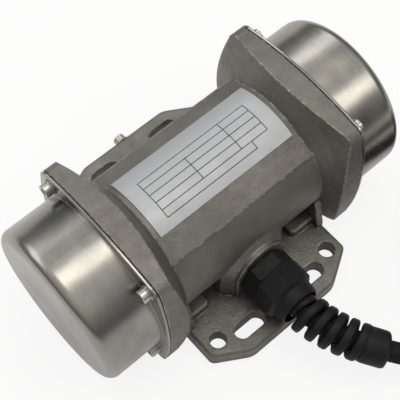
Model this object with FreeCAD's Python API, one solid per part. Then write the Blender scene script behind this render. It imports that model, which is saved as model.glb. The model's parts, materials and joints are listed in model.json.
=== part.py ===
import FreeCAD, Part
import math
import os

# Vibration motor: an induction motor with an unbalanced weight on each shaft end.
# Millimetres. X along the shaft, -Y the cable side, Z up. Origin: middle of the foot plane.

V = FreeCAD.Vector

# ---------------------------------------------------------------- driving dimensions
shaft_height = 35.3          # foot plane to shaft axis
# feet and their holes
foot_thick = 8.0
foot_edge_r = 1.6
foot_corner_r = 3.0
foot_end_r = 9.0
hole_pitch_x = 60.0
hole_pitch_y = 85.0
hole_d = 7.0
slot_pitch_min = 25.0        # slots serve bolt spacings from this ...
slot_pitch_max = 40.0        # ... to this, along X
slot_pitch_y = 92.0
hole_edge_x = 6.8            # hole centres to the side edges of the feet
hole_edge_y = 3.8            # hole centres to where a side edge turns into the slanting edge
slot_edge_x = 2.4            # outer slot centres to where the slanting edge ends
slot_edge_y = 9.0            # slot centres to the long outer edges of the feet
relief_depth = 2.0           # hollow in the underside between the feet
relief_edge = 6.0
# webs under the bells and pads beside them, on the feet
web_t = 3.2
web_foot_y = 33.0
web_root_y = 18.0
web_below_axis = 9.0
web_lean = 3.5
block_x = 22.4
block_y = 29.6
block_h = 4.0
block_side_r = 2.5
block_top_r = 1.2
# barrel and name-plate pad
bell_rise = 7.3              # barrel to the middle of a bulging side
barrel_wall = 4.7
pad_drop = 0.8               # barrel to the middle of the pad
pad_flat_angle = 31.0        # round up to here, flat from here to the pad's edge
pad_edge_angle = 49.4
label_half_x = 32.6
label_half_angle = 29.5
label_shift = -1.2
label_thick = 0.3
label_seat = 0.05             # adhesive under the label
# end bells
bell_face_x = 49.0
band_depth = 9.4             # straight part behind the face, at the middle of a side
flange_clear = 0.2           # foot plane to the middle of the lower side
flange_rise = 2.4            # how much further the other three sides bulge
side_bulge = 3.3             # middle of a side over its corners
corner_r = 5.5
flange_wall = 4.5            # middle of a side to the cavity
bell_root_x = 34.6           # where the bowl leaves the barrel
bowl_slope = 1.55            # rise of the bowl per mm of length
cavity_depth = 10.5
# covers
cover_end_x = 75.5
cover_over = 1.6             # cover over the cavity
cover_edge_r = 4.2
cover_sheet = 0.8
plate_thick = 1.0
gasket_thick = 0.4
cover_screw_in = 0.7         # screws inside the centres of the corner arcs
# screws: thread diameter, head diameter, head height, socket across flats
m3 = dict(d=3.0, head_d=5.5, head_h=3.0, socket=2.5)
m5 = dict(d=5.0, head_d=8.5, head_h=5.0, socket=4.0)
washer_thick = 0.5
cover_screw_len = 7.5
shield_screw_len = 10.0
# electric parts
stator_half = 17.0
stator_bore_r = 14.2
air_gap = 0.4
slot_count = 12
tooth_tip = 1.8
stator_yoke = 3.5            # iron outside the slots
slot_wide = 3.8
slot_mouth = 1.6
winding_end_x = 27.5
end_ring_len = 3.5
cage_bar_r = 0.9
cage_bar_count = 14
# shaft, bearings, weights
core_seat_r = 8.5
bearing_seat_r = 7.5
bearing_r = 17.5
bearing_w = 11.0
bearing_x = 34.0
ball_r = 2.9
ball_count = 8
weight_seat_r = 7.0
spacer_len = 2.0
weight_clear = 2.0           # weights inside the cavity
weight_hub_r = 12.0
inner_weight_t = 8.0
outer_weight_t = 10.5
weight_gap = 0.5
weight_slit = 1.4
clamp_height = 12.5          # clamp screw axis above the shaft axis
clamp_half_y = 11.0
circlip_t = 1.2
shaft_tail = 1.6
# bearing shields
shield_t = 5.0
shield_hub_r = 21.5
shield_screw_in = 5.1        # screws inside the cavity wall
shield_lip = 2.0
shield_hole_gap = 3.0        # shaft core to the hole in the shield
# cable gland
gland_z = 20.8
boss_rise = 1.7              # gland axis to the centre of the boss
boss_r = 12.5
boss_face_y = 34.4
boss_root_y = 28.6
boss_flare = 4.0
boss_depth = 14.4            # from the boss face to inside the barrel's bore
gland_thread_d = 16.0
gland_gasket_t = 0.8
gland_af = 19.5              # hexagon of the gland body
gland_turn = 22.0
gland_hex_len = 6.2
nut_af = 21.8                # octagon of the nut
nut_turn = -4.0
nut_flat_len = 9.8
nut_collar_len = 5.8
nut_collar_r = 9.5
nut_mouth_r = 8.3
nut_mouth_depth = 3.0
seam_gap = 0.2
gland_seal_len = 9.0
gland_stem_len = 9.0         # threaded stem inside the boss
cable_d = 8.5
spiral_turns = 5.6
spiral_steps = 14            # sections per turn
spiral_root_r = 6.3          # where the first turn leaves the nut
spiral_start_r = 8.1
spiral_end_r = 7.5
spiral_band = 4.4
spiral_inner_r = 4.9
spiral_len = 29.6
sleeve_len = 9.5
# earth screw in the rear foot's edge
earth_screw_len = 8.0
# clearances
fit = 0.02                   # seats that don't move
turn_gap = 0.1               # adjustable weights on the shaft
running_gap = 0.12           # balls in their races
cable_gap = 0.25             # cable in gland and spiral

# free cable: route points on the way out, then a coil
route = [(0, -31.8, 20.8), (0, -74.8, 20.8), (36.5, -118.8, 12.0), (60.8, -136.5, 4.3), (84.2, -147.8, 4.3)]
coil_turn_r = (34.0, 42.5, 51.0)
coil_layers = 2
coil_centre = (106.5, -102.0)
top_turn = (199.0, 401.5)    # the last turn lies on the coil between these angles
core_len = 30.0
core_turn = 20.0             # cores lean in over the coil
core_r = 1.3
core_spread = 2.0
coil_gap_fill = 0.45         # share of a turn's radius to which the grooves between turns are filled
climb_angle = 90.0           # over which the cable climbs onto the coil
climb_steps = 12
coil_sink = 0.2              # how far the last turn beds into the turns below
ferrule_len = 8.0

# ---------------------------------------------------------------- derived places
gasket_x = bell_face_x
plate_x = gasket_x + gasket_thick
plate_out_x = plate_x + plate_thick
flange_low = shaft_height - flange_clear
flange_mid = flange_low + flange_rise
corner_s = flange_mid - side_bulge
corner_at = corner_s - corner_r
barrel_r = flange_mid - bell_rise
pad_floor_r = barrel_r - pad_drop
stator_r = barrel_r - barrel_wall
slot_depth = stator_r - stator_yoke - stator_bore_r - tooth_tip
cavity_r = flange_mid - flange_wall
shield_screw_r = cavity_r - shield_screw_in
weight_r = cavity_r - weight_clear
cover_r = cavity_r + cover_over
cover_screw_at = corner_at - cover_screw_in
foot_half_x = hole_pitch_x / 2 + hole_edge_x
foot_half_y = slot_pitch_y / 2 + slot_edge_y
foot_shoulder_y = hole_pitch_y / 2 + hole_edge_y
foot_end_x = slot_pitch_max / 2 + slot_edge_x
earth_z = foot_thick / 2
shield_x = bell_face_x - cavity_depth
bearing_out_x = bearing_x + bearing_w
inner_weight_x = bearing_out_x + spacer_len
outer_weight_x = inner_weight_x + inner_weight_t + weight_gap
circlip_x = outer_weight_x + outer_weight_t + weight_gap
shaft_end_x = circlip_x + circlip_t + shaft_tail
rotor_r = stator_bore_r - air_gap
slot_c2c = (slot_pitch_max - slot_pitch_min) / 2
slot_mid_x = (slot_pitch_max + slot_pitch_min) / 4
gland_face_y = -(boss_face_y + gland_gasket_t)
nut_y = gland_face_y - gland_hex_len
nut_shoulder_y = nut_y - nut_flat_len
nut_end_y = nut_shoulder_y - nut_collar_len


# ---------------------------------------------------------------- helpers
def cyl_x(r, x0, x1, y=0.0, z=shaft_height):
    return Part.makeCylinder(r, x1 - x0, V(x0, y, z), V(1, 0, 0))


def cyl_y(r, y0, y1, x=0.0, z=gland_z):
    return Part.makeCylinder(r, y1 - y0, V(x, y0, z), V(0, 1, 0))


def prism(wire, direction):
    return Part.Face(wire).extrude(direction)


def polygon(points):
    return Part.makePolygon(points + points[:1])


def box(x0, x1, y0, y1, z0, z1):
    return Part.makeBox(x1 - x0, y1 - y0, z1 - z0, V(x0, y0, z0))


def revolve_x(points):
    """Solid of revolution about the shaft axis from (x, radius) points."""
    face = Part.Face(polygon([V(x, 0, shaft_height + r) for x, r in points]))
    return face.revolve(V(0, 0, shaft_height), V(1, 0, 0), 360)


def revolve_y(points):
    """Solid of revolution about the gland axis from (y, radius) points."""
    face = Part.Face(polygon([V(0, y, gland_z + r) for y, r in points]))
    return face.revolve(V(0, 0, gland_z), V(0, 1, 0), 360)


def flats(af, at, axis, sides=6, turn=0.0):
    """Closed regular outline of width af across flats, centred at a point, square to an axis (x or y)."""
    r = af / 2 / math.cos(math.pi / sides)
    angles = [math.radians(turn + 360.0 * i / sides) for i in range(sides)]
    ring = [(r * math.sin(a), r * math.cos(a)) for a in angles]
    if axis == "x":
        return polygon([at + V(0, p, q) for p, q in ring])
    return polygon([at + V(p, 0, q) for p, q in ring])


def socket_screw(size, length, tip, direction):
    """Cap screw: tip is the point under the head, direction points from the head into the thread."""
    back = V(direction) * -1
    head = Part.makeCylinder(size["head_d"] / 2, size["head_h"], tip, back)
    top = [e for e in head.Edges if abs((e.CenterOfMass - tip).dot(back) - size["head_h"]) < 1e-6]
    head = head.makeChamfer(0.3, top)
    shank = Part.makeCylinder(size["d"] / 2, length, tip, direction)
    axis = "x" if abs(direction.x) > 0.5 else "y"
    depth = size["head_h"] * 0.55
    socket = prism(flats(size["socket"], tip + back * (size["head_h"] - depth), axis), back * (depth + 1))
    return head.fuse(shank).removeSplitter().cut(socket)


def both_ends(shape):
    """The right-hand piece and its mirror image for the left-hand end."""
    return {"right": shape, "left": shape.mirror(V(0, 0, 0), V(1, 0, 0))}


def corners(at):
    return [(sy * at, sz * at) for sy in (1, -1) for sz in (1, -1)]


# ---------------------------------------------------------------- housing
def flange_wire(x):
    """Square outline with bulging sides and rounded corners, in the plane x."""
    def p(y, z):
        return V(x, y, shaft_height + z)
    c, s, d = corner_at, corner_s, corner_at + corner_r / math.sqrt(2)
    m = flange_mid
    arcs = [(p(-c, s), p(0, m), p(c, s)), (p(c, s), p(d, d), p(s, c)),
            (p(s, c), p(m, 0), p(s, -c)), (p(s, -c), p(d, -d), p(c, -s)),
            (p(c, -s), p(0, -flange_low), p(-c, -s)), (p(-c, -s), p(-d, -d), p(-s, -c)),
            (p(-s, -c), p(-m, 0), p(-s, c)), (p(-s, c), p(-d, d), p(-c, s))]
    return Part.Wire([Part.Arc(*a).toShape() for a in arcs])


def bell():
    """Square flange band, cut behind by a bowl that narrows to the barrel."""
    band = prism(flange_wire(bell_root_x - 2), V(bell_face_x - bell_root_x + 2, 0, 0))
    foot_r = barrel_r - 1
    mid_x = bell_face_x - band_depth
    far_r = flange_mid + (bell_face_x - mid_x) * bowl_slope * 1.4
    bowl = revolve_x([(bell_root_x - 2, 0), (bell_root_x - 2, foot_r), (bell_root_x, foot_r),
                      (mid_x, flange_mid), (bell_face_x, far_r), (bell_face_x, 0)])
    return band.common(bowl)


def foot_outline():
    """Half of the base outline (front side), mirrored to the back, with rounded corners."""
    front = [(-foot_half_x, -foot_shoulder_y), (-foot_end_x, -foot_half_y),
             (foot_end_x, -foot_half_y), (foot_half_x, -foot_shoulder_y)]
    points = [V(x, y, 0) for x, y in front + [(-x, -y) for x, y in front]]
    radii = [foot_corner_r, foot_end_r, foot_end_r, foot_corner_r] * 2
    edges, ends = [], []
    n = len(points)
    for i, (point, r) in enumerate(zip(points, radii)):
        a = (points[i - 1] - point).normalize()
        b = (points[(i + 1) % n] - point).normalize()
        half = a.getAngle(b) / 2
        reach = r / math.tan(half)
        centre = point + (a + b).normalize() * (r / math.sin(half))
        mid = centre + (point - centre).normalize() * r
        ends.append((point + a * reach, mid, point + b * reach))
    for i, (start, mid, stop) in enumerate(ends):
        edges.append(Part.Arc(start, mid, stop).toShape())
        edges.append(Part.LineSegment(stop, ends[(i + 1) % n][0]).toShape())
    return Part.Wire(edges)


def feet():
    plate = prism(foot_outline(), V(0, 0, foot_thick))
    rim = [e for e in plate.Edges if abs(e.BoundBox.ZMin - foot_thick) < 1e-6]
    plate = plate.makeFillet(foot_edge_r, rim)
    half_relief = foot_shoulder_y / 2
    relief_x = foot_half_x - relief_edge
    return plate.cut(box(-relief_x, relief_x, -half_relief, half_relief, -1, relief_depth))


def foot_cuts():
    """Four round bolt holes and four slots."""
    tool_h = foot_thick + 4
    tools = []
    for sy in (1, -1):
        for sx in (1, -1):
            tools.append(Part.makeCylinder(hole_d / 2, tool_h,
                                           V(sx * hole_pitch_x / 2, sy * hole_pitch_y / 2, -2)))
            x, y, half = sx * slot_mid_x, sy * slot_pitch_y / 2, slot_c2c / 2
            ends = [Part.makeCylinder(hole_d / 2, tool_h, V(x + k * half, y, -2)) for k in (1, -1)]
            middle = box(x - half, x + half, y - hole_d / 2, y + hole_d / 2, -2, tool_h - 2)
            tools.append(ends[0].fuse([ends[1], middle]).removeSplitter())
    return tools


def side_ribs():
    """Webs under the bells and the low pads beside them, on both sides of the barrel."""
    z0, top = foot_thick - 1, shaft_height - web_below_axis
    outer_x, lean_y = foot_half_x - web_t, web_foot_y - web_lean
    web = prism(polygon([V(outer_x, -y, z) for y, z in
                         [(web_foot_y, z0), (web_foot_y, foot_thick + 2), (lean_y, top),
                          (web_root_y, top), (web_root_y, z0)]]), V(web_t, 0, 0))
    block = box(block_x, foot_half_x - 1, -block_y, -web_root_y + 2, z0, foot_thick + block_h)
    side = [e for e in block.Edges if abs(e.CenterOfMass.y + block_y) < 0.01
            and abs(e.CenterOfMass.x - block_x) < 0.01]
    block = block.makeFillet(block_side_r, side)
    rim = [e for e in block.Edges if abs(e.BoundBox.ZMin - foot_thick - block_h) < 0.01
           and e.CenterOfMass.y < -web_root_y - 1 and e.CenterOfMass.x < foot_half_x - 2]
    block = block.makeFillet(block_top_r, rim)
    pieces = []
    for piece in (web, block):
        for near in both_ends(piece).values():
            pieces += [near, near.mirror(V(0, 0, 0), V(0, 1, 0))]
    return pieces


def arch_wire(r, y):
    """Round-topped outline standing on the foot, in the plane y."""
    z0 = foot_thick - 1
    z = gland_z + boss_rise
    left, right, top = V(-r, y, z), V(r, y, z), V(0, y, z + r)
    return Part.Wire([Part.LineSegment(V(-r, y, z0), left).toShape(), Part.Arc(left, top, right).toShape(),
                      Part.LineSegment(right, V(r, y, z0)).toShape(),
                      Part.LineSegment(V(r, y, z0), V(-r, y, z0)).toShape()])


def gland_boss():
    stem = prism(arch_wire(boss_r, -boss_face_y), V(0, boss_depth, 0))
    flare = Part.makeLoft([arch_wire(boss_r, -boss_face_y + 2), arch_wire(boss_r + boss_flare, -boss_root_y)],
                          True, True)
    skirt = prism(arch_wire(boss_r + boss_flare, -boss_root_y), V(0, boss_depth - boss_face_y + boss_root_y, 0))
    return [stem, flare, skirt]


def arc_band(r0, r1, a0, a1, half_x):
    """Curved strip about the shaft axis between two radii and two angles from the top."""
    def p(r, a):
        t = math.radians(a)
        return V(-half_x, -r * math.sin(t), shaft_height + r * math.cos(t))
    mid = (a0 + a1) / 2
    wire = Part.Wire([Part.Arc(p(r1, a0), p(r1, mid), p(r1, a1)).toShape(),
                      Part.LineSegment(p(r1, a1), p(r0, a1)).toShape(),
                      Part.Arc(p(r0, a1), p(r0, mid), p(r0, a0)).toShape(),
                      Part.LineSegment(p(r0, a0), p(r1, a0)).toShape()])
    return prism(wire, V(2 * half_x, 0, 0))


def pad():
    """Name-plate pad: round in the middle, flat beside the plate, standing over the barrel at its edges."""
    half_x = bell_root_x + 1.4
    edge_r = pad_floor_r / math.cos(math.radians(pad_edge_angle - pad_flat_angle))

    def p(r, a):
        t = math.radians(a)
        return V(-half_x, -r * math.sin(t), shaft_height + r * math.cos(t))
    corners_ = [p(edge_r, -pad_edge_angle), p(pad_floor_r, -pad_flat_angle), p(pad_floor_r, pad_flat_angle),
                p(edge_r, pad_edge_angle)]
    wire = Part.Wire([Part.LineSegment(p(0, 0), corners_[0]).toShape(),
                      Part.LineSegment(corners_[0], corners_[1]).toShape(),
                      Part.Arc(corners_[1], p(pad_floor_r, 0), corners_[2]).toShape(),
                      Part.LineSegment(corners_[2], corners_[3]).toShape(),
                      Part.LineSegment(corners_[3], p(0, 0)).toShape()])
    wedge = polygon([p(0, 0), p(3 * barrel_r, -pad_edge_angle), p(3 * barrel_r, pad_edge_angle)])
    length = V(2 * half_x, 0, 0)
    return prism(wire, length), prism(wedge, length)


def make_housing():
    raised, wedge = pad()
    barrel = cyl_x(barrel_r, -bell_root_x - 1, bell_root_x + 1).cut(wedge)
    bells = both_ends(bell())
    solid = barrel.fuse([raised, feet(), bells["left"], bells["right"]] + side_ribs() + gland_boss())
    tools = foot_cuts()
    tools.append(cyl_x(stator_r + fit, -bell_face_x - 1, bell_face_x + 1))
    for s in (1, -1):
        tools.append(cyl_x(cavity_r, min(s * shield_x, s * (bell_face_x + 1)),
                           max(s * shield_x, s * (bell_face_x + 1))))
        for y, z in corners(cover_screw_at):
            x_in = bell_face_x - cover_screw_len
            x0, x1 = sorted((s * x_in, s * (bell_face_x + 1)))
            tools.append(cyl_x(m3["d"] / 2, x0, x1, y, shaft_height + z))
        for y, z in corners(shield_screw_r / math.sqrt(2)):
            x_in = shield_x - shield_screw_len
            x0, x1 = sorted((s * x_in, s * (shield_x + 1)))
            tools.append(cyl_x(m3["d"] / 2, x0, x1, y, shaft_height + z))
    tools.append(cyl_y(gland_thread_d / 2, -boss_face_y - 1, -boss_face_y + boss_depth + 5))
    tools.append(cyl_y(m3["d"] / 2, foot_half_y - earth_screw_len - 1, foot_half_y + 1, 0, earth_z))
    return solid.cut(tools).removeSplitter()


# ---------------------------------------------------------------- covers and their screws
def make_cover():
    """Deep-drawn cup with a rounded rim on a thin flange plate."""
    def cup(r, end, edge):
        x0 = plate_x - 0.5 if r < cover_r else plate_x
        arc_mid = edge / math.sqrt(2)
        def p(x, q):
            return V(x, 0, shaft_height + q)
        centre_x, centre_r = end - edge, r - edge
        wire = Part.Wire([Part.LineSegment(p(x0, 0), p(x0, r)).toShape(),
                          Part.LineSegment(p(x0, r), p(centre_x, r)).toShape(),
                          Part.Arc(p(centre_x, r), p(centre_x + arc_mid, centre_r + arc_mid),
                                   p(end, centre_r)).toShape(),
                          Part.LineSegment(p(end, centre_r), p(end, 0)).toShape(),
                          Part.LineSegment(p(end, 0), p(x0, 0)).toShape()])
        return Part.Face(wire).revolve(V(0, 0, shaft_height), V(1, 0, 0), 360)
    plate = prism(flange_wire(plate_x), V(plate_thick, 0, 0))
    holes = [cyl_x(m3["d"] / 2 + 0.2, plate_x - 1, plate_out_x + 1, y, shaft_height + z)
             for y, z in corners(cover_screw_at)]
    outer = plate.fuse(cup(cover_r, cover_end_x, cover_edge_r))
    inner = cup(cover_r - cover_sheet, cover_end_x - cover_sheet, cover_edge_r - cover_sheet)
    return outer.cut([inner] + holes).removeSplitter()


def make_gasket():
    ring = prism(flange_wire(gasket_x), V(gasket_thick, 0, 0))
    holes = [cyl_x(m3["d"] / 2 + 0.2, gasket_x - 1, plate_x + 1, y, shaft_height + z)
             for y, z in corners(cover_screw_at)]
    return ring.cut([cyl_x(cavity_r + 0.6, gasket_x - 1, plate_x + 1)] + holes)


def make_cover_washers():
    x = plate_out_x
    return Part.makeCompound([cyl_x(m3["head_d"] / 2 + 0.5, x, x + washer_thick, y, shaft_height + z)
                              .cut(cyl_x(m3["d"] / 2 + 0.1, x - 1, x + 2, y, shaft_height + z))
                              for y, z in corners(cover_screw_at)])


def make_cover_screws():
    x = plate_out_x + washer_thick
    reach = x - bell_face_x + cover_screw_len - 1
    return Part.makeCompound([socket_screw(m3, reach, V(x, y, shaft_height + z), V(-1, 0, 0))
                              for y, z in corners(cover_screw_at)])


# ---------------------------------------------------------------- bearing shields and bearings
def make_shield():
    """Disc with a hub that carries the bearing, held by four countersunk cap screws."""
    hub_x = bearing_x - shield_lip
    hole_r = core_seat_r + shield_hole_gap
    disc = revolve_x([(hub_x, hole_r), (hub_x, shield_hub_r - 1), (hub_x + 1, shield_hub_r),
                      (shield_x, shield_hub_r), (shield_x, cavity_r - fit),
                      (shield_x + shield_t, cavity_r - fit), (shield_x + shield_t, shield_hub_r + 2),
                      (bearing_out_x + 0.6, shield_hub_r), (bearing_out_x + 0.6, bearing_r + fit),
                      (bearing_x, bearing_r + fit), (bearing_x, hole_r)])
    tools = []
    for y, z in corners(shield_screw_r / math.sqrt(2)):
        tools.append(cyl_x(m3["d"] / 2 + 0.2, shield_x - 1, shield_x + shield_t + 1, y, shaft_height + z))
        tools.append(cyl_x(m3["head_d"] / 2 + 0.3, shield_x + shield_t - m3["head_h"],
                           shield_x + shield_t + 1, y, shaft_height + z))
    return disc.cut(tools)


def make_shield_screws():
    x = shield_x + shield_t - m3["head_h"]
    reach = x - shield_x + shield_screw_len - 1
    return Part.makeCompound([socket_screw(m3, reach, V(x, y, shaft_height + z), V(-1, 0, 0))
                              for y, z in corners(shield_screw_r / math.sqrt(2))])


def bearing_parts():
    """Outer ring, inner ring and the set of balls with its cage."""
    pitch_r = (bearing_r + bearing_seat_r) / 2
    mid_x = bearing_x + bearing_w / 2
    groove = Part.makeTorus(pitch_r, ball_r + running_gap, V(mid_x, 0, shaft_height), V(1, 0, 0))
    shoulder = ball_r * 0.62
    outer = cyl_x(bearing_r, bearing_x, bearing_out_x).cut(
        [cyl_x(pitch_r + shoulder, bearing_x - 1, bearing_out_x + 1), groove])
    inner = cyl_x(pitch_r - shoulder, bearing_x, bearing_out_x).cut(
        [cyl_x(bearing_seat_r, bearing_x - 1, bearing_out_x + 1), groove])
    seats = [V(mid_x, pitch_r * math.sin(t), shaft_height + pitch_r * math.cos(t))
             for t in [2 * math.pi * i / ball_count for i in range(ball_count)]]
    half_cage = ball_r * 0.55
    cage = cyl_x(pitch_r + 0.9, mid_x - half_cage, mid_x + half_cage).cut(
        [cyl_x(pitch_r - 0.9, mid_x - 5, mid_x + 5)] + [Part.makeSphere(ball_r + 0.05, s) for s in seats])
    return outer, inner, Part.makeCompound([Part.makeSphere(ball_r, s) for s in seats] + cage.Solids)


# ---------------------------------------------------------------- stator and rotor
def radial_box(r0, r1, half_w, half_x, turn):
    """Box standing out from the shaft axis, turned about it by an angle in degrees."""
    piece = box(-half_x, half_x, -half_w, half_w, shaft_height + r0, shaft_height + r1)
    return piece.rotate(V(0, 0, shaft_height), V(1, 0, 0), turn)


def slot_turns():
    return [360.0 / slot_count * (i + 0.5) for i in range(slot_count)]


def make_stator_core():
    slot_r0 = stator_bore_r + tooth_tip
    tools = [cyl_x(stator_bore_r, -stator_half - 1, stator_half + 1)]
    for turn in slot_turns():
        tools.append(radial_box(slot_r0, slot_r0 + slot_depth, slot_wide / 2, stator_half + 1, turn))
        tools.append(radial_box(stator_bore_r - 1, slot_r0 + 0.5, slot_mouth / 2, stator_half + 1, turn))
    return cyl_x(stator_r, -stator_half, stator_half).cut(tools)


def make_windings():
    """Coil sides in the slots and the bundled heads at both ends."""
    slot_r0, gap = stator_bore_r + tooth_tip, 0.15
    r0, r1 = slot_r0 + gap, slot_r0 + slot_depth - gap
    bars = [radial_box(r0, r1, slot_wide / 2 - gap, stator_half + 1.5, turn) for turn in slot_turns()]
    x0, x1 = stator_half + 0.6, winding_end_x
    head = revolve_x([(x0, r0 + 0.1), (x0, r1 - 0.1), (x0 + 2, r1 + 1.4), (x1 - 2.5, r1 + 1.4), (x1, r1 - 1),
                      (x1, r0 + 1.5), (x1 - 1.5, r0 + 0.1)])
    heads = both_ends(head)
    return heads["left"].fuse([heads["right"]] + bars)


def rotor_bars(gap, half_x):
    r = rotor_r - cage_bar_r - 0.8
    return [cyl_x(cage_bar_r + gap, -half_x, half_x, r * math.sin(t), shaft_height + r * math.cos(t))
            for t in [2 * math.pi * i / cage_bar_count for i in range(cage_bar_count)]]


def make_rotor_core():
    return cyl_x(rotor_r, -stator_half, stator_half).cut(
        [cyl_x(core_seat_r, -stator_half - 1, stator_half + 1)] + rotor_bars(0, stator_half + 1))


def make_rotor_cage():
    x0, x1 = stator_half, stator_half + end_ring_len
    ring = revolve_x([(x0, core_seat_r + 1), (x0, rotor_r - 0.4), (x1 - 0.8, rotor_r - 0.4),
                      (x1, rotor_r - 1.2), (x1, core_seat_r + 1)])
    rings = both_ends(ring)
    return rings["left"].fuse([rings["right"]] + rotor_bars(0, stator_half + 0.5))


def make_shaft():
    core_x = stator_half + end_ring_len + 1
    groove_r, chamfer = weight_seat_r - 0.7, 0.8
    half = [(0, core_seat_r), (core_x, core_seat_r), (core_x, core_seat_r + 0.9),
            (bearing_x, core_seat_r + 0.9), (bearing_x, bearing_seat_r), (bearing_out_x, bearing_seat_r),
            (bearing_out_x, weight_seat_r), (circlip_x, weight_seat_r), (circlip_x, groove_r),
            (circlip_x + circlip_t, groove_r), (circlip_x + circlip_t, weight_seat_r),
            (shaft_end_x - chamfer, weight_seat_r), (shaft_end_x, weight_seat_r - chamfer)]
    left = [(-x, r) for x, r in reversed(half[1:])]
    return revolve_x([(-shaft_end_x, 0)] + left + half + [(shaft_end_x, 0)])


def make_weight(x0, thick, bore_r):
    """Half disc with a split clamp block above the shaft."""
    disc = cyl_x(weight_r, x0, x0 + thick)
    disc = disc.cut(box(x0 - 1, x0 + thick + 1, -weight_r - 1, weight_r + 1,
                        shaft_height - 1.5, shaft_height + weight_r + 1))
    block = box(x0, x0 + thick, -clamp_half_y, clamp_half_y, shaft_height - 4,
                shaft_height + clamp_height + m5["d"] / 2 + 2)
    edges = [e for e in block.Edges if abs(e.CenterOfMass.z - block.BoundBox.ZMax) < 0.01
             and abs(abs(e.CenterOfMass.y) - clamp_half_y) < 0.01]
    block = block.makeFillet(2.0, edges)
    slit = box(x0 - 1, x0 + thick + 1, -weight_slit / 2, weight_slit / 2, shaft_height,
               shaft_height + weight_r)
    x, z = x0 + thick / 2, shaft_height + clamp_height
    screw_hole = cyl_y(m5["d"] / 2, -clamp_half_y - 1, clamp_half_y + 1, x, z)
    sink = m5["d"] * 0.3
    seat = cyl_y(thick / 2 - 0.8 if thick < m5["head_d"] + 1.6 else m5["head_d"] / 2 + 0.2,
                 clamp_half_y - sink, clamp_half_y + 1, x, z)
    return disc.fuse([block, cyl_x(weight_hub_r, x0, x0 + thick)]).removeSplitter().cut(
        [cyl_x(bore_r, x0 - 1, x0 + thick + 1), slit, screw_hole, seat])


def make_clamp_screw(x0, thick):
    size = dict(m5, head_d=min(m5["head_d"], thick - 2.0))
    sink = m5["d"] * 0.3
    return socket_screw(size, 2 * clamp_half_y - sink - 1.0,
                        V(x0 + thick / 2, clamp_half_y - sink, shaft_height + clamp_height), V(0, -1, 0))


def make_spacer():
    return cyl_x(weight_seat_r + 2.6, bearing_out_x, inner_weight_x).cut(
        cyl_x(weight_seat_r, bearing_out_x - 1, inner_weight_x + 1))


def make_circlip():
    """Open retaining ring in the groove near the shaft end."""
    ring = cyl_x(weight_seat_r + 2.2, circlip_x, circlip_x + circlip_t).cut(
        cyl_x(weight_seat_r - 0.7, circlip_x - 1, circlip_x + circlip_t + 1))
    gap = box(circlip_x - 1, circlip_x + circlip_t + 1, -2.2, 2.2, shaft_height + 2,
              shaft_height + weight_seat_r + 4)
    return ring.cut(gap)


# ---------------------------------------------------------------- cable gland and cable
def make_gland_gasket():
    return cyl_y(gland_af / 2, gland_face_y, -boss_face_y).cut(
        cyl_y(gland_thread_d / 2, gland_face_y - 1, -boss_face_y + 1))


def make_gland_body():
    """Hexagon against the boss, threaded stem inwards and a collar for the nut outwards."""
    collar_end = nut_shoulder_y + 1
    hexa = prism(flats(gland_af, V(0, nut_y, gland_z), "y", 6, gland_turn), V(0, gland_face_y - nut_y, 0))
    corner = gland_af / math.sqrt(3)
    chamfer = revolve_y([(nut_y, 0), (nut_y, corner - 0.6), (nut_y + 0.6, corner + 0.01),
                         (gland_face_y, corner + 0.01), (gland_face_y, 0)])
    stem = cyl_y(gland_thread_d / 2, gland_face_y, -boss_face_y + gland_stem_len)
    collar = cyl_y(gland_thread_d / 2 - 0.2, collar_end, nut_y)
    tools = [cyl_y(cable_d / 2 + cable_gap, collar_end - 1, -boss_face_y + gland_stem_len + 1),
             cyl_y(gland_thread_d / 2 - 1.6, collar_end - 1, collar_end + gland_seal_len)]
    return hexa.common(chamfer).fuse([stem, collar]).cut(tools)


def make_gland_seal():
    y0 = nut_shoulder_y + 1
    return cyl_y(gland_thread_d / 2 - 1.6, y0, y0 + gland_seal_len).cut(
        cyl_y(cable_d / 2, y0 - 1, y0 + gland_seal_len + 1))


def make_gland_nut():
    """Eight flats at the seam, running into a round collar with the mouth for the spiral."""
    y1, floor_y = nut_y - seam_gap, nut_end_y + nut_mouth_depth
    block = prism(flats(nut_af, V(0, nut_end_y, gland_z), "y", 8, nut_turn), V(0, y1 - nut_end_y, 0))
    corner = nut_af / 2 / math.cos(math.pi / 8)
    outer = revolve_y([(nut_end_y, 0), (nut_end_y, nut_collar_r - 0.9), (nut_end_y + 0.8, nut_collar_r - 0.4),
                       (nut_shoulder_y - 0.6, nut_collar_r), (nut_shoulder_y, corner - 1.3),
                       (nut_shoulder_y + 1.4, corner + 0.01), (y1 - 0.5, corner + 0.01), (y1, corner - 0.5),
                       (y1, 0)])
    thread = cyl_y(gland_thread_d / 2 - 0.2, nut_shoulder_y + 0.9, y1 + 1)
    bore_r = spiral_inner_r + 1.6
    mouth = revolve_y([(nut_end_y - 1, 0), (nut_end_y - 1, nut_mouth_r), (floor_y, nut_mouth_r),
                       (floor_y, bore_r), (nut_shoulder_y + 1, bore_r), (nut_shoulder_y + 1, 0)])
    return block.common(outer).cut([thread, mouth])


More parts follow.
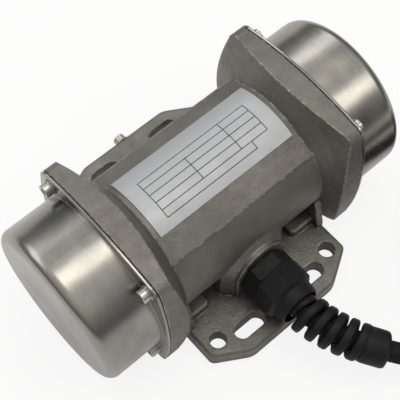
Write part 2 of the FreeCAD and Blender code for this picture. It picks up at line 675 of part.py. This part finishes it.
def route_path():
    """Straight runs joined by tangent arcs, as (kind, data, length) pieces and one wire."""
    points = [V(*p) for p in route]
    runs = [(b - a).Length for a, b in zip(points, points[1:])]
    pieces, start = [], points[0]
    for i in range(1, len(points) - 1):
        a = (points[i - 1] - points[i]).normalize()
        b = (points[i + 1] - points[i]).normalize()
        half_turn = (math.pi - a.getAngle(b)) / 2
        reach = 0.45 * min(runs[i - 1], runs[i])
        radius = reach / math.tan(half_turn)
        print("cable bend %d: turn %.1f deg, radius %.1f mm" % (i, math.degrees(2 * half_turn), radius))
        first, last = points[i] + a * reach, points[i] + b * reach
        centre = points[i] + (a + b).normalize() * (radius / math.cos(half_turn))
        pieces.append(("line", start, first))
        pieces.append(("arc", first, last, centre, radius, 2 * half_turn))
        start = last
    pieces.append(("line", start, points[-1]))
    edges = []
    for piece in pieces:
        if piece[0] == "line":
            edges.append(Part.LineSegment(piece[1], piece[2]).toShape())
        else:
            mid = piece[3] + ((piece[1] + piece[2]) * 0.5 - piece[3]).normalize() * piece[4]
            edges.append(Part.Arc(piece[1], mid, piece[2]).toShape())
    return pieces, Part.Wire(edges)


def route_frame(pieces, distance):
    """Point and direction on the route at a distance from its start."""
    for piece in pieces:
        if piece[0] == "line":
            length = (piece[2] - piece[1]).Length
            if distance <= length:
                way = (piece[2] - piece[1]).normalize()
                return piece[1] + way * distance, way
        else:
            _, first, last, centre, radius, turn = piece
            length = radius * turn
            if distance <= length:
                u = (first - centre).normalize()
                w = ((last - centre) - u * (last - centre).dot(u)).normalize()
                t = distance / radius
                return (centre + (u * math.cos(t) + w * math.sin(t)) * radius,
                        w * math.cos(t) - u * math.sin(t))
        distance -= length
    raise ValueError("distance beyond the route")


def tube(path, r):
    """Round bar along the route."""
    section = Part.Wire([Part.Circle(V(*route[0]), V(0, 1, 0), r).toShape()])
    return path.makePipeShell([section], True, False)


def make_cable(path):
    cable = tube(path, cable_d / 2)
    print("cable tube volume ratio %.4f" % (cable.Volume / (path.Length * math.pi * cable_d ** 2 / 4)))
    outside = cable.cut(make_cable_coil()).Solids
    return max(outside, key=lambda solid: solid.Volume)


def top_turn_end(angle):
    """Point on the last turn's centre line and its direction, at an angle about the coil."""
    t = math.radians(angle)
    at = V(coil_centre[0], coil_centre[1], (coil_layers + 0.5) * cable_d - coil_sink)
    return at + V(math.cos(t), math.sin(t), 0) * coil_turn_r[-1], V(-math.sin(t), math.cos(t), 0)


def packed_turns():
    """Ring with a rounded turn at each place of the section, and the gaps between them half filled."""
    r, cols, rows = cable_d / 2, len(coil_turn_r), coil_layers
    fill = math.degrees(math.asin(coil_gap_fill))
    places = [(i, 0, 270) for i in range(cols)] + [(cols - 1, j, 0) for j in range(rows)]
    places += [(i, rows - 1, 90) for i in reversed(range(cols))] + [(0, j, 180) for j in reversed(range(rows))]
    facing = {}
    for i, j, way in places:
        facing.setdefault((i, j), []).append(way)
    edges, rim = [], []
    for (i, j), ways in facing.items():
        if (i, j) == (0, 0):
            ways = [-180, -90]
        elif ways == [270, 0]:
            ways = [-90, 0]
        a0, a1 = ways[0] - 90 + fill, ways[-1] + 90 - fill
        at = V(coil_centre[0] + coil_turn_r[i], coil_centre[1], (j + 0.5) * cable_d)
        arc = [at + V(math.cos(math.radians(a)), 0, math.sin(math.radians(a))) * r
               for a in (a0, (a0 + a1) / 2, a1)]
        edges.append(Part.Arc(*arc).toShape())
        rim.append((arc[0], arc[2]))
    for (_, end), (start, _) in zip(rim, rim[1:] + rim[:1]):
        edges.append(Part.LineSegment(end, start).toShape())
    section = Part.Face(Part.Wire(Part.__sortEdges__(edges)))
    return section.revolve(V(coil_centre[0], coil_centre[1], 0), V(0, 0, 1), 360)


def make_cable_coil():
    """Outer shape of the packed turns, with the climb and the end of the last turn on top."""
    at = V(coil_centre[0], coil_centre[1], 0)
    start, way = top_turn_end(top_turn[0])
    circle = Part.Wire([Part.Circle(start, way, cable_d / 2).toShape()])
    last = Part.Face(circle).revolve(at, V(0, 0, 1), top_turn[1] - top_turn[0])
    climb = []
    for i in range(climb_steps + 1):
        share = i / climb_steps
        point, way = top_turn_end(top_turn[0] - climb_angle * (1 - share))
        point.z -= (cable_d - coil_sink) * (1 - share * share * (3 - 2 * share))
        r = cable_d / 2 - 0.05 * (1 - share)
        climb.append(Part.Wire([Part.Circle(point, way, r).toShape()]))
    return packed_turns().fuse([last, Part.makeLoft(climb, True)])


def make_bend_protector(pieces, path):
    """Helical strain relief that follows the cable, from a ring in the nut to an end sleeve."""
    floor_y = nut_end_y + nut_mouth_depth
    start = route[0][1] - (floor_y - 0.2 - spiral_band / 2)
    steps = int(spiral_turns * spiral_steps)
    wires = []
    for i in range(steps + 1):
        share, turn = i / steps, i / spiral_steps
        at, way = route_frame(pieces, start + spiral_len * share)
        side = way.cross(V(0, 0, 1)).normalize()
        rise = side.cross(way)
        t = 2 * math.pi * turn
        out = side * math.cos(t) + rise * math.sin(t)
        r1 = spiral_start_r + (spiral_end_r - spiral_start_r) * share
        r1 = min(r1, spiral_root_r + (r1 - spiral_root_r) * turn)
        section = [(spiral_inner_r, -1), (r1 - 1.3, -1), (r1 - 0.4, -0.72), (r1, -0.3),
                   (r1, 0.3), (r1 - 0.4, 0.72), (r1 - 1.3, 1), (spiral_inner_r, 1)]
        wires.append(polygon([at + out * r + way * (w * spiral_band / 2) for r, w in section]))
    helix = Part.makeLoft(wires, True, True)
    length = sleeve_len + 1.0
    at, way = route_frame(pieces, start + spiral_len - 1.0 + length / 2)
    at -= way * (length / 2)
    sleeve = Part.makeCylinder(spiral_end_r, length, at, way)
    end = [e for e in sleeve.Edges if abs((e.CenterOfMass - at).dot(way) - length) < 0.01]
    sleeve = sleeve.makeFillet(1.5, end).cut(tube(path, spiral_inner_r))
    anchor = cyl_y(spiral_root_r, floor_y - 1.5, floor_y).cut(
        cyl_y(spiral_inner_r, floor_y - 2, floor_y + 1))
    return helix.fuse([sleeve, anchor])


def make_cable_cores():
    """Stripped cores with ferrules where the jacket ends; their tips rest on the coil."""
    start, way = top_turn_end(top_turn[1])
    aside = way.cross(V(0, 0, 1))
    lean = math.radians(core_turn)
    cores = []
    for i in (-1, 0, 1):
        at = start + aside * (i * (2 * core_r + 0.1))
        tip = at + (way * math.cos(lean) - aside * math.sin(lean)) * core_len + aside * (i * core_spread)
        tip.z = coil_layers * cable_d + core_r + coil_sink
        core_way = (tip - at).normalize()
        core = Part.makeCylinder(core_r, (tip - at).Length, at, core_way)
        core = core.cut(Part.makeCylinder(cable_d, 3.0, start - way * 3.0, way))
        cores.append(core.fuse(Part.makeCylinder(core_r * 0.6, ferrule_len, tip, core_way)))
    return Part.makeCompound(cores)


# ---------------------------------------------------------------- small outside pieces
def make_label():
    r0 = pad_floor_r + label_seat
    return arc_band(r0, r0 + label_thick, label_shift - label_half_angle, label_shift + label_half_angle,
                    label_half_x)


def make_earth_washer():
    return cyl_y(m3["head_d"] / 2 + 0.8, foot_half_y, foot_half_y + washer_thick, 0, earth_z).cut(
        cyl_y(m3["d"] / 2, foot_half_y - 1, foot_half_y + 2, 0, earth_z))


def make_earth_screw():
    return socket_screw(m3, earth_screw_len, V(0, foot_half_y + washer_thick, earth_z), V(0, -1, 0))


# ---------------------------------------------------------------- build
os.makedirs("parts", exist_ok=True)
pieces, path = route_path()
outer_ring, inner_ring, balls = bearing_parts()

parts = {
    "housing": make_housing(),
    "rating_label": make_label(),
    "earth_screw": make_earth_screw(),
    "earth_washer": make_earth_washer(),
    "stator_core": make_stator_core(),
    "stator_windings": make_windings(),
    "rotor_core": make_rotor_core(),
    "rotor_cage": make_rotor_cage(),
    "shaft": make_shaft(),
    "gland_gasket": make_gland_gasket(),
    "gland_body": make_gland_body(),
    "gland_seal": make_gland_seal(),
    "gland_nut": make_gland_nut(),
    "bend_protector": make_bend_protector(pieces, path),
    "cable": make_cable(path),
    "cable_coil": make_cable_coil(),
    "cable_cores": make_cable_cores(),
}
paired = {
    "cover": make_cover(),
    "cover_gasket": make_gasket(),
    "cover_washers": make_cover_washers(),
    "cover_screws": make_cover_screws(),
    "bearing_shield": make_shield(),
    "shield_screws": make_shield_screws(),
    "bearing_outer_ring": outer_ring,
    "bearing_inner_ring": inner_ring,
    "bearing_balls": balls,
    "spacer": make_spacer(),
    "inner_weight": make_weight(inner_weight_x, inner_weight_t, weight_seat_r),
    "inner_weight_screw": make_clamp_screw(inner_weight_x, inner_weight_t),
    "outer_weight": make_weight(outer_weight_x, outer_weight_t, weight_seat_r + turn_gap),
    "outer_weight_screw": make_clamp_screw(outer_weight_x, outer_weight_t),
    "circlip": make_circlip(),
}
for name, shape in paired.items():
    for side, piece in both_ends(shape).items():
        parts[side + "_" + name] = piece

for name, shape in parts.items():
    if not shape.Solids or not all(s.isValid() for s in shape.Solids):
        print("check this piece:", name, len(shape.Solids))
    shape.exportStep("parts/%s.step" % name)
print(len(parts), "nodes")
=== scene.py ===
import json
import math

import bpy
from mathutils import Matrix, Vector


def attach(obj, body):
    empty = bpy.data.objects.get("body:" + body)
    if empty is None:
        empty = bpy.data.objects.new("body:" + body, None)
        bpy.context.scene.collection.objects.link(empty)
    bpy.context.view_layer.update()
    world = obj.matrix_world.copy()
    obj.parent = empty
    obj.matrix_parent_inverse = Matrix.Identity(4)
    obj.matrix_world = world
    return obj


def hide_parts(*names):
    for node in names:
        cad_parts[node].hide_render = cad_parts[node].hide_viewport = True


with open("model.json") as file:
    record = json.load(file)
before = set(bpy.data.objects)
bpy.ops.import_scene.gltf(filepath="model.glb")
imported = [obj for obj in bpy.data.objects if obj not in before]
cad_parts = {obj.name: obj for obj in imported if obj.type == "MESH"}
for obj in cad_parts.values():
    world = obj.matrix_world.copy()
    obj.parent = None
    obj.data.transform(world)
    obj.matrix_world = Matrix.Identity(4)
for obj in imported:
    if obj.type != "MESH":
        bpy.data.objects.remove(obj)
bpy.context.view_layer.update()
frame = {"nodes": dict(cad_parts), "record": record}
nodes = frame["nodes"]

MM = 0.001
shaft_z = 35.3 * MM

# free cable, in mm: its route, then six turns in two layers and part of a turn on top
route = [(0, -31.8, 20.8), (0, -74.8, 20.8), (36.5, -118.8, 12.0), (60.8, -136.5, 4.3), (84.2, -147.8, 4.3)]
straight_gland = [(0, -39.2, 20.8)]      # keeps the cable straight in the gland
cable_d = 8.5
coil_centre = (106.5, -102.0)
turn_radii = (34.0, 42.5, 51.0)
first_turn_start = -116.0                # degrees, as the next
top_turn_end = 401.5
lowest = 4.3                             # middle of the cable on the floor

# its stripped cores, in mm and degrees
core_len, core_turn = 30.0, 20.0
core_gap = 2.7                           # between two cores at the jacket
core_spread = 2.0                        # what the gap gains up to the tips
ferrule_lead = 0.3


# ------------------------------------------------------------------ shader helpers
def new_material(name):
    m = bpy.data.materials.new(name)
    m.use_nodes = True
    tree = m.node_tree
    return m, tree, tree.nodes["Principled BSDF"]


def add(tree, kind, **values):
    """A shader node with its sockets' values set, and its properties' where a key starts with p_."""
    n = tree.nodes.new(kind)
    for key, value in values.items():
        if key.startswith("p_"):
            setattr(n, key[2:], value)
        else:
            n.inputs[key.replace("_", " ")].default_value = value
    return n


def noise(tree, coords, scale, detail=4.0, rough=0.55):
    n = add(tree, "ShaderNodeTexNoise", Scale=scale, Detail=detail, Roughness=rough)
    tree.links.new(coords, n.inputs["Vector"])
    return n.outputs["Fac"]


def ramp(tree, fac, low, high, at=(0.35, 0.65)):
    n = tree.nodes.new("ShaderNodeValToRGB")
    n.color_ramp.elements[0].position, n.color_ramp.elements[1].position = at
    n.color_ramp.elements[0].color = (*low, 1)
    n.color_ramp.elements[1].color = (*high, 1)
    tree.links.new(fac, n.inputs["Fac"])
    return n.outputs["Color"]


def value_range(tree, fac, low, high, from_low=0.3, from_high=0.7):
    n = add(tree, "ShaderNodeMapRange", From_Min=from_low, From_Max=from_high, To_Min=low, To_Max=high)
    tree.links.new(fac, n.inputs["Value"])
    return n.outputs["Result"]


def bump(tree, height, strength, distance, normal):
    n = add(tree, "ShaderNodeBump", Strength=strength, Distance=distance)
    tree.links.new(height, n.inputs["Height"])
    tree.links.new(normal, n.inputs["Normal"])
    return n.outputs["Normal"]


def bevel(tree, radius):
    return add(tree, "ShaderNodeBevel", Radius=radius, p_samples=6).outputs["Normal"]


def object_coords(tree):
    return tree.nodes.new("ShaderNodeTexCoord").outputs["Object"]


def separate(tree, vector):
    n = tree.nodes.new("ShaderNodeSeparateXYZ")
    tree.links.new(vector, n.inputs["Vector"])
    return n.outputs["X"], n.outputs["Y"], n.outputs["Z"]


def math_node(tree, operation, *values):
    """A Math node; each value is a number or another node's output."""
    n = add(tree, "ShaderNodeMath", p_operation=operation)
    for socket, value in zip(n.inputs, values):
        if isinstance(value, (int, float)):
            socket.default_value = value
        else:
            tree.links.new(value, socket)
    return n.outputs[0]


def scaled(tree, colour, share):
    n = add(tree, "ShaderNodeVectorMath", p_operation="SCALE")
    tree.links.new(colour, n.inputs[0])
    tree.links.new(share, n.inputs["Scale"])
    return n.outputs[0]


def mixed(tree, share, below, above):
    """One colour over another; below is a colour or another node's output."""
    n = tree.nodes.new("ShaderNodeMix")
    n.data_type = "RGBA"
    tree.links.new(share, n.inputs["Factor"])
    if isinstance(below, tuple):
        n.inputs[6].default_value = (*below, 1)
    else:
        tree.links.new(below, n.inputs[6])
    n.inputs[7].default_value = (*above, 1)
    return n.outputs[2]


def mixed_shaders(tree, share, below, above, output):
    n = tree.nodes.new("ShaderNodeMixShader")
    tree.links.new(share, n.inputs["Fac"])
    tree.links.new(below, n.inputs[1])
    tree.links.new(above, n.inputs[2])
    tree.links.new(n.outputs[0], tree.nodes[output].inputs["Surface"])


def about_shaft(tree, coords):
    """Place along the shaft, distance from it and angle from the top towards the gland side."""
    along, y, z = separate(tree, coords)
    front = math_node(tree, "MULTIPLY", y, -1.0)
    up = math_node(tree, "SUBTRACT", z, shaft_z)
    radius = math_node(tree, "SQRT", math_node(tree, "ADD", math_node(tree, "MULTIPLY", front, front),
                                               math_node(tree, "MULTIPLY", up, up)))
    return along, radius, math_node(tree, "ARCTAN2", front, up)


# ------------------------------------------------------------------ materials
def cast_metal(name, low, high, worn):
    """Sand-grey casting, lighter where edges are worn bare, with painted shade darkening its hollows."""
    m, t, b = new_material(name)
    co = object_coords(t)
    body = ramp(t, noise(t, co, 55.0, 5.0), low, high)
    soft = bevel(t, 0.0011)
    facing = add(t, "ShaderNodeVectorMath", p_operation="DOT_PRODUCT")
    t.links.new(soft, facing.inputs[0])
    t.links.new(t.nodes.new("ShaderNodeNewGeometry").outputs["Normal"], facing.inputs[1])
    rim = value_range(t, facing.outputs["Value"], 0.95, 0.0, from_low=0.90, from_high=0.992)
    patches = value_range(t, noise(t, co, 480.0, 4.0), 0.0, 1.0, from_low=0.46, from_high=0.58)
    colour = mixed(t, math_node(t, "MULTIPLY", rim, patches), body, worn)
    # painted shade: ambient occlusion darkens the colour in holes, slots and corners, where shadow falls
    hollow = add(t, "ShaderNodeAmbientOcclusion", Distance=0.006, p_samples=8)
    painted_shade = value_range(t, hollow.outputs["AO"], 0.45, 1.0, from_low=0.25, from_high=0.85)
    t.links.new(scaled(t, colour, painted_shade), b.inputs["Base Color"])
    b.inputs["Metallic"].default_value = 0.85
    t.links.new(value_range(t, noise(t, co, 260.0, 3.0), 0.42, 0.60), b.inputs["Roughness"])
    swell = bump(t, noise(t, co, 110.0, 2.0), 0.25, 0.0011, soft)
    grain = bump(t, noise(t, co, 700.0, 3.0), 0.35, 0.0005, swell)
    t.links.new(bump(t, noise(t, co, 2200.0, 2.0), 0.50, 0.0003, grain), b.inputs["Normal"])
    return m


def plain(name, colour, metallic, roughness, grain, scale=900.0, edge=0.0003, specular=0.5):
    """One even colour with a fine grain; scale is the grain's, and edge rounds the corners."""
    m, t, b = new_material(name)
    b.inputs["Base Color"].default_value = (*colour, 1)
    b.inputs["Metallic"].default_value = metallic
    b.inputs["Specular IOR Level"].default_value = specular
    co = object_coords(t)
    t.links.new(value_range(t, noise(t, co, scale / 5), roughness - 0.05, roughness + 0.07),
                b.inputs["Roughness"])
    t.links.new(bump(t, noise(t, co, scale), grain, 0.0002, bevel(t, edge)), b.inputs["Normal"])
    return m


def brushed_cover(name):
    """Stainless steel, brushed round the shaft axis, a little uneven from the drawing press."""
    m, t, b = new_material(name)
    b.inputs["Metallic"].default_value = 1.0
    co = object_coords(t)
    along, radius, _ = about_shaft(t, co)
    ring = t.nodes.new("ShaderNodeCombineXYZ")
    t.links.new(along, ring.inputs["X"])
    t.links.new(radius, ring.inputs["Y"])
    brushing = noise(t, ring.outputs["Vector"], 900.0, 2.0, 0.6)
    cloud = noise(t, co, 45.0, 4.0)
    colour = ramp(t, cloud, (0.225, 0.226, 0.222), (0.405, 0.378, 0.325), (0.32, 0.68))
    t.links.new(scaled(t, colour, value_range(t, brushing, 0.97, 1.03)), b.inputs["Base Color"])
    t.links.new(value_range(t, brushing, 0.255, 0.275), b.inputs["Roughness"])
    dents = bump(t, noise(t, co, 42.0, 1.0, 0.4), 0.30, 0.0018, bevel(t, 0.0006))
    t.links.new(dents, b.inputs["Normal"])
    return m


def stripped_cores(name):
    """Green-yellow, brown and blue cores side by side, with tinned ferrules at their tips."""
    m, t, b = new_material(name)
    x, y, _ = separate(t, object_coords(t))
    turn, lean = math.radians(top_turn_end), math.radians(core_turn)
    out, way = (math.cos(turn), math.sin(turn)), (-math.sin(turn), math.cos(turn))
    jacket_end = [(c + turn_radii[2] * d) * MM for c, d in zip(coil_centre, out)]
    from_end = [math_node(t, "SUBTRACT", value, at) for value, at in zip((x, y), jacket_end)]
    ahead, aside = (math_node(t, "ADD", math_node(t, "MULTIPLY", from_end[0], d[0] / MM),
                              math_node(t, "MULTIPLY", from_end[1], d[1] / MM)) for d in (way, out))
    reach = core_len * math.cos(lean)
    across = math_node(t, "MULTIPLY_ADD", ahead, math.tan(lean), aside)
    border = math_node(t, "MULTIPLY_ADD", ahead, core_spread / 2 / reach, core_gap / 2)
    outer = math_node(t, "GREATER_THAN", across, border)
    inner = math_node(t, "LESS_THAN", across, math_node(t, "MULTIPLY", border, -1.0))
    tip = math_node(t, "GREATER_THAN", ahead, reach + ferrule_lead)
    colour = (0.14, 0.055, 0.025)
    for share, tint in ((outer, (0.24, 0.34, 0.03)), (inner, (0.02, 0.09, 0.35)), (tip, (0.60, 0.60, 0.60))):
        colour = mixed(t, share, colour, tint)
    t.links.new(colour, b.inputs["Base Color"])
    t.links.new(tip, b.inputs["Metallic"])
    b.inputs["Roughness"].default_value = 0.38
    return m


def rule_lines(material, arc_r, lines):
    """Thin ruled lines on the plate, as (x, place round the plate, half length, half width) in mm."""
    t = material.node_tree
    b = t.nodes["Principled BSDF"]
    along, _, angle = about_shaft(t, object_coords(t))
    u = math_node(t, "MULTIPLY", along, 1 / MM)
    v = math_node(t, "MULTIPLY", angle, arc_r)
    mask = 0.0
    for u0, v0, half_u, half_v in lines:
        strip = math_node(t, "MULTIPLY", math_node(t, "COMPARE", u, u0, half_u),
                          math_node(t, "COMPARE", v, v0, half_v))
        mask = math_node(t, "MAXIMUM", strip, mask)
    foil, ink = tuple(b.inputs["Base Color"].default_value)[:3], (0.035, 0.035, 0.04)
    t.links.new(mixed(t, mask, foil, ink), b.inputs["Base Color"])


materials = {
    "cast_aluminium": cast_metal("cast_aluminium", (0.170, 0.161, 0.143), (0.222, 0.211, 0.190),
                                 worn=(0.52, 0.50, 0.46)),
    "stainless": brushed_cover("stainless"),
    "bright_steel": plain("bright_steel", (0.50, 0.485, 0.45), 1.0, 0.33, 0.02),
    "label_foil": plain("label_foil", (0.45, 0.46, 0.47), 0.5, 0.50, 0.03, edge=0.0001),
    "electrical_steel": plain("electrical_steel", (0.20, 0.20, 0.21), 1.0, 0.45, 0.1),
    "copper": plain("copper", (0.55, 0.20, 0.07), 0.9, 0.35, 0.2),
    "cage_aluminium": plain("cage_aluminium", (0.55, 0.55, 0.55), 1.0, 0.35, 0.1),
    "machined_steel": plain("machined_steel", (0.45, 0.45, 0.46), 1.0, 0.28, 0.05),
    "black_nylon": plain("black_nylon", (0.010, 0.010, 0.0105), 0.0, 0.5, 0.12, scale=1400.0,
                         edge=0.0004, specular=0.2),
    "black_rubber": plain("black_rubber", (0.010, 0.010, 0.011), 0.0, 0.6, 0.12, scale=1200.0,
                          edge=0.0002, specular=0.15),
    "core_insulation": stripped_cores("core_insulation"),
}
# an empty ruled table where the plate carries its data
plate_r = 29.75
half_line = 0.18
long_rows = [(0, v, 26, half_line) for v in (-7.4, -3.8, -0.2, 3.4, 7.0)]
short_row = [(-4, 10.4, 22, half_line)]
columns = [(u, v, half_line, half) for u, v, half in
           ((-26, 1.5, 9.0), (26, -0.2, 7.2), (-6, 1.6, 5.4), (13, -0.2, 7.2), (18, 8.7, 1.7))]
rule_lines(materials["label_foil"], plate_r, long_rows + short_row + columns)
slots = {s["node"]: s["material_slot"] for s in frame["record"]["subparts"]}
for name, node in nodes.items():
    node.data.materials.clear()
    node.data.materials.append(materials[slots[name]])


# ------------------------------------------------------------------ stage, light, camera
def link(obj):
    bpy.context.scene.collection.objects.link(obj)
    return obj


def seen_share(tree, straight, mirrored):
    """Share of plain white that a camera ray and a mirrored ray see."""
    path = tree.nodes.new("ShaderNodeLightPath")
    mirror = math_node(tree, "MULTIPLY", path.outputs["Is Glossy Ray"], mirrored)
    return math_node(tree, "MULTIPLY_ADD", path.outputs["Is Camera Ray"], straight, mirror)


def make_floor():
    half, drop = 3, 0.0002
    mesh = bpy.data.meshes.new("floor")
    mesh.from_pydata([(-half, -half, 0), (half, -half, 0), (half, half, 0), (-half, half, 0)],
                     [], [(0, 1, 2, 3)])
    floor = link(bpy.data.objects.new("floor", mesh))
    floor.location = (0, 0, -drop)
    m, t, b = new_material("floor")
    b.inputs["Base Color"].default_value = (0.9, 0.9, 0.9, 1)
    b.inputs["Roughness"].default_value = 0.9
    b.inputs["Specular IOR Level"].default_value = 0.0
    white = add(t, "ShaderNodeEmission", Color=(1, 1, 1, 1), Strength=1.0)
    share = seen_share(t, straight=0.85, mirrored=0.2)
    mixed_shaders(t, share, b.outputs[0], white.outputs[0], "Material Output")
    mesh.materials.append(m)


def area_light(name, location, target, size, power, colour=(1, 1, 1)):
    data = bpy.data.lights.new(name, "AREA")
    data.shape = "RECTANGLE"
    data.size, data.size_y = size
    data.energy = power
    data.color = colour
    obj = link(bpy.data.objects.new(name, data))
    obj.location = location
    obj.rotation_euler = (Vector(target) - Vector(location)).to_track_quat("-Z", "Y").to_euler()


def make_world():
    """Soft light that grows with height; the camera sees plain white."""
    world = bpy.data.worlds.new("world")
    bpy.context.scene.world = world
    world.use_nodes = True
    t = world.node_tree
    sky = t.nodes["Background"]
    sky.inputs["Color"].default_value = (1, 1, 1, 1)
    _, _, height = separate(t, t.nodes.new("ShaderNodeTexCoord").outputs["Generated"])
    t.links.new(value_range(t, height, 0.12, 0.85, from_low=0.1, from_high=0.95), sky.inputs["Strength"])
    white = add(t, "ShaderNodeBackground", Color=(1, 1, 1, 1), Strength=1.0)
    path = t.nodes.new("ShaderNodeLightPath")
    mixed_shaders(t, path.outputs["Is Camera Ray"], sky.outputs[0], white.outputs[0], "World Output")


def make_camera(azimuth, elevation, roll, target, distance, lens):
    """Camera looking at a target point, with angles in degrees and lengths in mm."""
    az, el, roll = (math.radians(a) for a in (azimuth, elevation, roll))
    back = Vector((math.sin(az) * math.cos(el), -math.cos(az) * math.cos(el), math.sin(el)))
    right = (-back).cross(Vector((0, 0, 1))).normalized()
    up = right.cross(-back)
    right, up = right * math.cos(roll) + up * math.sin(roll), up * math.cos(roll) - right * math.sin(roll)
    data = bpy.data.cameras.new("camera")
    data.sensor_width = 36.0
    data.lens = lens
    data.clip_start, data.clip_end = 0.01, 10
    cam = link(bpy.data.objects.new("camera", data))
    location = (Vector(target) + back * distance) * MM
    cam.matrix_world = Matrix.Translation(location) @ Matrix((right, up, back)).transposed().to_4x4()
    bpy.context.scene.camera = cam


make_floor()
motor_middle, warm = (0, 0, 0.03), (1.0, 0.96, 0.88)
area_light("key", (0.12, 0.0, 1.2), (-0.02, 0, 0.03), (0.45, 0.6), 2.6, warm)
area_light("front_right", (0.61, -0.72, 0.90), motor_middle, (0.35, 0.40), 1.7, warm)
area_light("back_right", (0.60, 0.80, 0.85), motor_middle, (0.5, 0.35), 1.3)
area_light("back", (-0.4, 1.1, 0.95), motor_middle, (1.2, 0.6), 4.0)
make_world()
make_camera(azimuth=-39.67, elevation=62.56, roll=-1.49, target=(-9.32, -8.57, 53.39),
            distance=397.02, lens=94.8213)
bpy.context.scene.view_settings.view_transform = "Standard"


# ------------------------------------------------------------------ free cable and bend protector
def smooth(share):
    share = min(max(share, 0.0), 1.0)
    return share * share * (3 - 2 * share)


def coil_points():
    """Control points of six turns in two layers, outwards in and back out, and half a turn on top."""
    per_turn, top_points = 16, 8
    aside_points = 3                             # at the end of each turn, where it steps aside
    climb_from, climb_points = 10, 4             # in the last full turn, up to the one on top
    inner, middle, outer = turn_radii
    plan = [(outer, 0), (middle, 0), (inner, 0), (inner, 1), (middle, 1), (outer, 1), (outer, 2)]
    hull = 1 / math.cos(math.pi / per_turn)      # the spline runs inside its control points
    points = []
    for i in range((len(plan) - 1) * per_turn + top_points):
        turn, step = divmod(i, per_turn)
        r, level = plan[turn]
        next_r, next_level = plan[min(turn + 1, len(plan) - 1)]
        aside = smooth((step - per_turn + aside_points) / aside_points)
        rise = smooth((step - climb_from) / climb_points) if turn == len(plan) - 2 else aside
        angle = math.radians(first_turn_start + 360.0 * i / per_turn)
        radius = (r + (next_r - r) * aside) * hull
        points.append((coil_centre[0] + radius * math.cos(angle), coil_centre[1] + radius * math.sin(angle),
                       lowest + (level + (next_level - level) * rise) * cable_d))
    return points


def make_cord(points, name, radius):
    curve = bpy.data.curves.new(name, "CURVE")
    curve.dimensions = "3D"
    curve.bevel_depth = radius
    curve.bevel_resolution = 6
    curve.resolution_u = 8
    curve.use_fill_caps = True
    spline = curve.splines.new("NURBS")
    spline.points.add(len(points) - 1)
    for p, q in zip(spline.points, points):
        p.co = (q[0] * MM, q[1] * MM, q[2] * MM, 1)
    spline.order_u = 3
    spline.use_endpoint_u = True
    return link(bpy.data.objects.new(name, curve))


def cord_frames(obj, length, step):
    """Points and directions at even steps along the cord's own line, in mm."""
    bare = obj.data.copy()
    bare.bevel_depth = 0.0
    bare.resolution_u = 32
    probe = bpy.data.objects.new("probe", bare)
    line = bpy.data.meshes.new_from_object(probe)
    at = [v.co / MM for v in line.vertices]
    bpy.data.objects.remove(probe)
    bpy.data.curves.remove(bare)
    bpy.data.meshes.remove(line)
    frames, gone, i = [], 0.0, 0
    for k in range(int(length / step)):
        while gone + (at[i + 1] - at[i]).length < k * step:
            gone += (at[i + 1] - at[i]).length
            i += 1
        way = (at[i + 1] - at[i]).normalized()
        frames.append((at[i] + way * (k * step - gone), way))
    return frames


def closed_strip(base, count, width, closed):
    """Faces between neighbouring rings of width points each, from the vertex base on."""
    faces = []
    for i in range(count if closed else count - 1):
        here, there = base + i * width, base + (i + 1) % count * width
        for j in range(width):
            k = (j + 1) % width
            faces.append((here + j, here + k, there + k, there + j))
    return faces


def spiral_mesh(obj):
    """Helical band round the cord from the nut's mouth, running out into the end sleeve, in mm."""
    step = 0.25
    frames = cord_frames(obj, 80.0, step)
    first, length = 24.2, 29.6               # along the cord
    turns, per_turn = 5.6, 40
    half_band, inner_r = 2.05, 4.6
    start_r, first_r, last_r = 5.4, 8.8, 7.9
    band = [(0.0, -1.0), (0.62, -0.97), (0.90, -0.80), (1.0, -0.45), (1.0, 0.45), (0.90, 0.80),
            (0.62, 0.97), (0.0, 1.0)]        # share of the height, share of the half width
    sleeve = [(-1.0, 4.6), (-1.0, 7.3), (0.6, 7.55), (7.6, 7.5), (8.7, 7.1), (9.0, 6.5), (8.6, 6.0),
              (5.0, 5.5), (5.0, 4.6)]        # place along the cord, radius; open at its mouth
    sleeve_around = 48

    def place(distance, turn):
        k = min(distance / step, len(frames) - 2)
        at, way = frames[int(k)]
        at = at + way * ((k - int(k)) * step)
        side = way.cross(Vector((0, 0, 1))).normalized()
        rise = side.cross(way)
        a = 2 * math.pi * turn
        return at, way, side * math.cos(a) + rise * math.sin(a)

    verts = []
    steps = int(per_turn * turns)
    for i in range(steps + 1):
        share, turn = i / steps, i / per_turn
        at, way, out = place(first + length * share, turn)
        outer_r = min(first_r + (last_r - first_r) * share, start_r + (first_r - start_r) * turn)
        for height, across in band:
            verts.append(at + out * (inner_r + (outer_r - inner_r) * height) + way * (across * half_band))
    faces = closed_strip(0, steps + 1, len(band), closed=False)
    faces += [tuple(range(len(band)))[::-1], tuple(steps * len(band) + j for j in range(len(band)))]
    base = len(verts)
    for i in range(sleeve_around):
        for along, r in sleeve:
            at, way, out = place(first + length + along, i / sleeve_around)
            verts.append(at + out * r)
    faces += closed_strip(base, sleeve_around, len(sleeve), closed=True)
    mesh = bpy.data.meshes.new("spiral")
    mesh.from_pydata([v * MM for v in verts], [], faces)
    for face in mesh.polygons:
        face.use_smooth = True
    mesh.update()
    return link(bpy.data.objects.new("spiral", mesh))


cord = make_cord(route[:1] + straight_gland + route[1:] + coil_points(), "free_cable", cable_d / 2 * MM)
cord.data.materials.append(materials["black_rubber"])
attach(cord, "housing")
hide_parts("cable", "cable_coil")
spiral = spiral_mesh(cord)
spiral.data.materials.append(materials["black_nylon"])
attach(spiral, "housing")
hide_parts("bend_protector")
